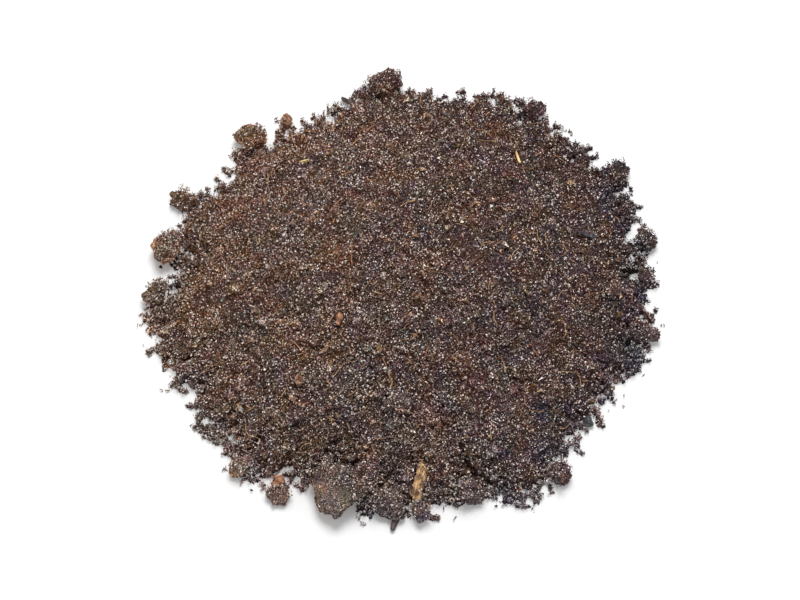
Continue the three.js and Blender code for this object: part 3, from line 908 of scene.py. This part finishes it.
def fibre(rng, ground, start):
    """A rootlet or a bit of stalk, curled over the crumb."""
    step = rng.uniform(*FIBRE_LENGTHS) / FIBRE_STEPS
    heading = rng.uniform(0, 2 * math.pi)
    turns = rng.normal(0, FIBRE_CURL) * step + rng.normal(0, FIBRE_WANDER, FIBRE_STEPS)
    path = start + np.cumsum(on_bearings(heading + np.cumsum(turns), step), axis=0)
    heights = np.pad(ground.at(path), FIBRE_BRIDGES, mode="edge")
    window = 2 * FIBRE_BRIDGES + 1
    path[:, 2] = np.convolve(heights, np.ones(window) / window, mode="valid") + FIBRE_LIFT
    radii = rng.uniform(*FIBRE_RADII) * np.linspace(1, FIBRE_TAPER, FIBRE_STEPS)
    return tube(path, radii, FIBRE_SIDES)


def fibres(rng, ground, rim, material):
    meshes = [fibre(rng, ground, start) for start in scatter(rng, FIBRE_COUNT, rim - FIBRE_INSET)]
    vertices, triangles, elements = joined(meshes)
    vertices[:, 2] = np.maximum(vertices[:, 2], 0)
    straw = rng.uniform(0, 1, (FIBRE_COUNT, 1)) ** STRAW_RARITY
    shades = linear(FIBRE_ORANGE) * (1 - straw) + linear(FIBRE_STRAW) * straw
    shades *= rng.uniform(*FIBRE_LIGHT, (FIBRE_COUNT, 1))
    make_piece("fibres", vertices, triangles, shades[elements], material, smooth=True)


# Clods

def on_surface(rng, vertices, triangles, density):
    """Random places on a surface, so many to a square millimetre, and the normals there."""
    a, b, c = (vertices[triangles[:, i]] for i in range(3))
    cross = np.cross(b - a, c - a)
    area = np.linalg.norm(cross, axis=1)
    which = rng.choice(len(triangles), int(density * area.sum() / 2), p=area / area.sum())
    u, v = rng.uniform(0, 1, (2, len(which)))
    folded = u + v > 1
    u, v = np.where(folded, 1 - u, u), np.where(folded, 1 - v, v)
    places = a[which] + u[:, None] * (b - a)[which] + v[:, None] * (c - a)[which]
    return places, cross[which] / area[which, None]


def rough_lump(rng, node, seed):
    """A clod's solid with a broken, crumbly surface that stays on the table."""
    vertices, triangles = finer(*node_mesh(node), CLOD_EDGE)
    out = CLOD_LUMPS * (smooth_noise(vertices, CLOD_LUMP_WIDTH, seed) - 0.5)
    out += CLOD_BUMPS * (smooth_noise(vertices, CLOD_BUMP_WIDTH, seed + 1) - 0.5)
    out += rng.uniform(-CLOD_ROUGHNESS, CLOD_ROUGHNESS, len(vertices)) - CLOD_DEPTH
    moved = vertices + vertex_normals(vertices, triangles) * out[:, None]
    moved[:, 2] = np.where(vertices[:, 2] < ON_TABLE, 0, np.maximum(moved[:, 2], ON_TABLE))
    return moved, triangles


def clod(node, seed, material):
    """Caked crumb: a broken lump with crumbs set into its sides."""
    rng = np.random.default_rng(seed)
    lump, faces = rough_lump(rng, node, seed)
    places, normals = on_surface(rng, lump, faces, CLOD_CRUMBS)
    above = places[:, 2] > CLOD_CRUMBS_FROM
    places, normals = places[above], normals[above]
    radii = CLOD_CRUMB_LEAST + CLOD_CRUMB_RANGE * rng.uniform(0, 1, len(places)) ** 2
    centres = places - normals * (CLOD_CRUMB_SINK * radii)[:, None]
    crumbs, crumb_faces, elements = crumb_mesh(rng, SHAPE_FINE, centres, radii)
    vertices, triangles, _ = joined([(lump, faces), (crumbs, crumb_faces)])
    lumpy = crumb_colours(rng, lump[faces].mean(1), light=0.7, spread=0.4)
    colours = np.concatenate([lumpy, crumb_colours(rng, places, spread=0.5)[elements]])
    colours = by_facet(rng, colours * CLOD_TINTS[slot_of[node]], spread=0.2)
    piece = make_piece(f"{node}_cake", vertices, triangles, colours, material)
    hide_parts(node)


# Chips, sticks and grit

def grained(node, seed, lumps, groove, splinter, streak):
    """A solid with lumps, grooves along its length and broken ends, and the grain at each triangle."""
    vertices, triangles = finer(*node_mesh(node), CHIP_EDGE)
    middle = vertices.mean(0)
    axes = np.linalg.svd(vertices - middle, full_matrices=False)[2]
    local = (vertices - middle) @ axes.T
    grain = smooth_noise(local * (streak, 1, 1), GRAIN_WIDTH, seed)
    reach = np.abs(local[:, 0]) / np.abs(local[:, 0]).max()
    ends = np.clip((reach - END_BEGINS) / (1 - END_BEGINS), 0, 1)
    splinters = smooth_noise(local * (0, 1, 1), SPLINTER_WIDTH, seed + 1)
    broken = ends * splinter * (splinters - SPLINTER_BREAK)
    out = groove * (grain - 0.5) + lumps * (smooth_noise(local, CHIP_LUMP_WIDTH, seed + 2) - 0.5)
    moved = vertices + vertex_normals(vertices, triangles) * out[:, None]
    moved += axes[0] * (broken * np.sign(local[:, 0]))[:, None]
    moved[:, 2] = np.maximum(moved[:, 2], 0)
    return moved, triangles, grain[triangles].mean(1)


def chip(node, seed, material, colour, patchy, *form):
    """A bit of wood, bark, stalk or grit, darker in its grooves: grain, with painted shade."""
    rng = np.random.default_rng(seed)
    vertices, triangles, grain = grained(node, seed, *form)
    patches = smooth_noise(vertices[triangles].mean(1), CHIP_PATCH_WIDTH, seed + 3)
    # darker in the grooves and lighter on the ridges: grain tone, with painted shade and painted light
    shade = np.interp(grain, GRAIN_STEPS, GRAIN_SHADES_WITH_PAINTED_SHADE) * (1 + patchy * (2 * patches - 1))
    speckle = rng.uniform(1 - CHIP_SPECKLE, 1 + CHIP_SPECKLE, (len(triangles), 1))
    colours = linear(colour) * shade[:, None] * speckle
    piece = make_piece(f"{node}_grained", vertices, triangles, colours, material)
    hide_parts(node)


# Stage

def make_camera():
    camera = bpy.data.cameras.new("camera")
    camera.lens = CAMERA_LENS
    camera.sensor_width = CAMERA_SENSOR
    holder = bpy.data.objects.new("camera", camera)
    bpy.context.scene.collection.objects.link(holder)
    elevation = math.radians(CAMERA_ELEVATION)
    back = Vector((0, -math.cos(elevation), math.sin(elevation)))
    holder.location = (Vector(CAMERA_TARGET) + CAMERA_DISTANCE * back) * MM
    holder.rotation_euler = (-back).to_track_quat("-Z", "Y").to_euler()
    bpy.context.scene.camera = holder


def table_material():
    """White, with a glow that the camera, glossy and clear surfaces see."""
    material, nodes, links, shader = new_material("table_white")
    shader.inputs["Base Color"].default_value = TABLE_WHITE
    shader.inputs["Roughness"].default_value = TABLE_ROUGHNESS
    shader.inputs["Specular IOR Level"].default_value = TABLE_GLOSS
    path = nodes.new("ShaderNodeLightPath")
    shown = path.outputs["Is Camera Ray"]
    for ray in ("Is Glossy Ray", "Is Transmission Ray"):
        either = nodes.new("ShaderNodeMath")
        either.operation = "MAXIMUM"
        links.new(shown, either.inputs[0])
        links.new(path.outputs[ray], either.inputs[1])
        shown = either.outputs["Value"]
    links.new(shown, shader.inputs["Emission Strength"])
    shader.inputs["Emission Color"].default_value = TABLE_GLOW
    return material


def make_floor():
    """A white table that keeps the heap's shadow."""
    mesh = bpy.data.meshes.new("table")
    corners = [(-1, -1), (1, -1), (1, 1), (-1, 1)]
    mesh.from_pydata([(TABLE_HALF * x, TABLE_HALF * y, 0) for x, y in corners], [], [(0, 1, 2, 3)])
    mesh.materials.append(table_material())
    table = bpy.data.objects.new("table", mesh)
    table.location.z = -TABLE_DROP * MM
    bpy.context.scene.collection.objects.link(table)


def make_light():
    """Soft light from behind and above, and a pale room all round."""
    world = bpy.data.worlds.new("room")
    world.use_nodes = True
    room = world.node_tree.nodes["Background"]
    room.inputs["Color"].default_value = (1, 1, 1, 1)
    room.inputs["Strength"].default_value = ROOM_LIGHT
    bpy.context.scene.world = world
    lamp = bpy.data.lights.new("key", "AREA")
    lamp.shape = "DISK"
    lamp.size = LAMP_SIZE
    lamp.energy = LAMP_POWER
    holder = bpy.data.objects.new("key", lamp)
    aim = Vector(LAMP_SIDE).normalized()
    holder.location = LAMP_DISTANCE * aim
    holder.rotation_euler = aim.to_track_quat("Z", "Y").to_euler()
    bpy.context.scene.collection.objects.link(holder)


def make_heap(crumb, grit, stalk):
    """The loose crumb, from the skin up to the grains and fibres on top."""
    rng = np.random.default_rng(HEAP_SEED)
    ground = Ground(["soil_heap"] + [node for node in slot_of if node != "soil_heap"])
    rim = rim_radii(ground)
    ground.lay_skirts()
    ground.lay_bare()
    skin_rim = skin_radii(ground, rim)
    ground.sink_heap(skin_rim)
    ground.refine()
    heap_skin(rng, ground, skin_rim, crumb)
    foot_plates(rng, ground, rim, crumb)
    chunks = foot_chunks(rng, ground, rim)
    coarse, medium, fine, flaky, top = (
        rain(rng, ground, rim, sort) for sort in (COARSE, MEDIUM, FINE, FLAKES, TOP)
    )
    loose_crumbs("coarse_crumbs", rng, SHAPE_COARSE, coarse, crumb, COARSE["pieces"], spread=0.3)
    loose_crumbs(
        "medium_crumbs", rng, SHAPE_MEDIUM, medium, crumb, MEDIUM["pieces"], slender=0.4, spread=0.5
    )
    loose_crumbs("fine_crumbs", rng, SHAPE_FINE, fine, crumb, FINE["pieces"], slender=1.2)
    loose_crumbs("top_crumbs", rng, SHAPE_FINE, top, crumb, TOP["pieces"], slender=1.2)
    loose_crumbs("foot_chunks", rng, SHAPE_CHUNK, chunks, crumb, slender=0.6, light=0.65)
    edging = foot_slivers(rng, ground, rim)
    loose_crumbs("foot_slivers", rng, SHAPE_FINE, edging, crumb, slender=5, light=0.6)
    flakes("flakes", rng, SHAPE_MEDIUM, flaky, crumb, slender=1.2)
    flakes("slivers", rng, SHAPE_FINE, rain(rng, ground, rim, SLIVERS), crumb, slender=5)
    pale_grains_painted_glint(rng, ground, rim, grit)
    fibres(rng, ground, rim, stalk)


def main():
    bpy.context.scene.view_settings.view_transform = "Standard"
    make_camera()
    make_floor()
    make_light()
    crumb = soil_material("crumb", roughness=0.92, speckle=0.9)
    caked = soil_material("caked", roughness=0.95, speckle=0.8)
    grit = soil_material("grit", roughness=0.45, speckle=0.15)
    stalk = soil_material("stalk", roughness=0.6, speckle=0.2)
    make_heap(crumb, grit, stalk)
    for seed, (node, slot) in enumerate(slot_of.items(), start=FIRST_SEED):
        if slot in CLOD_TINTS:
            clod(node, seed, caked)
        elif slot in CHIP_LOOKS:
            chip(node, seed, stalk, *CHIP_LOOKS[slot])


main()
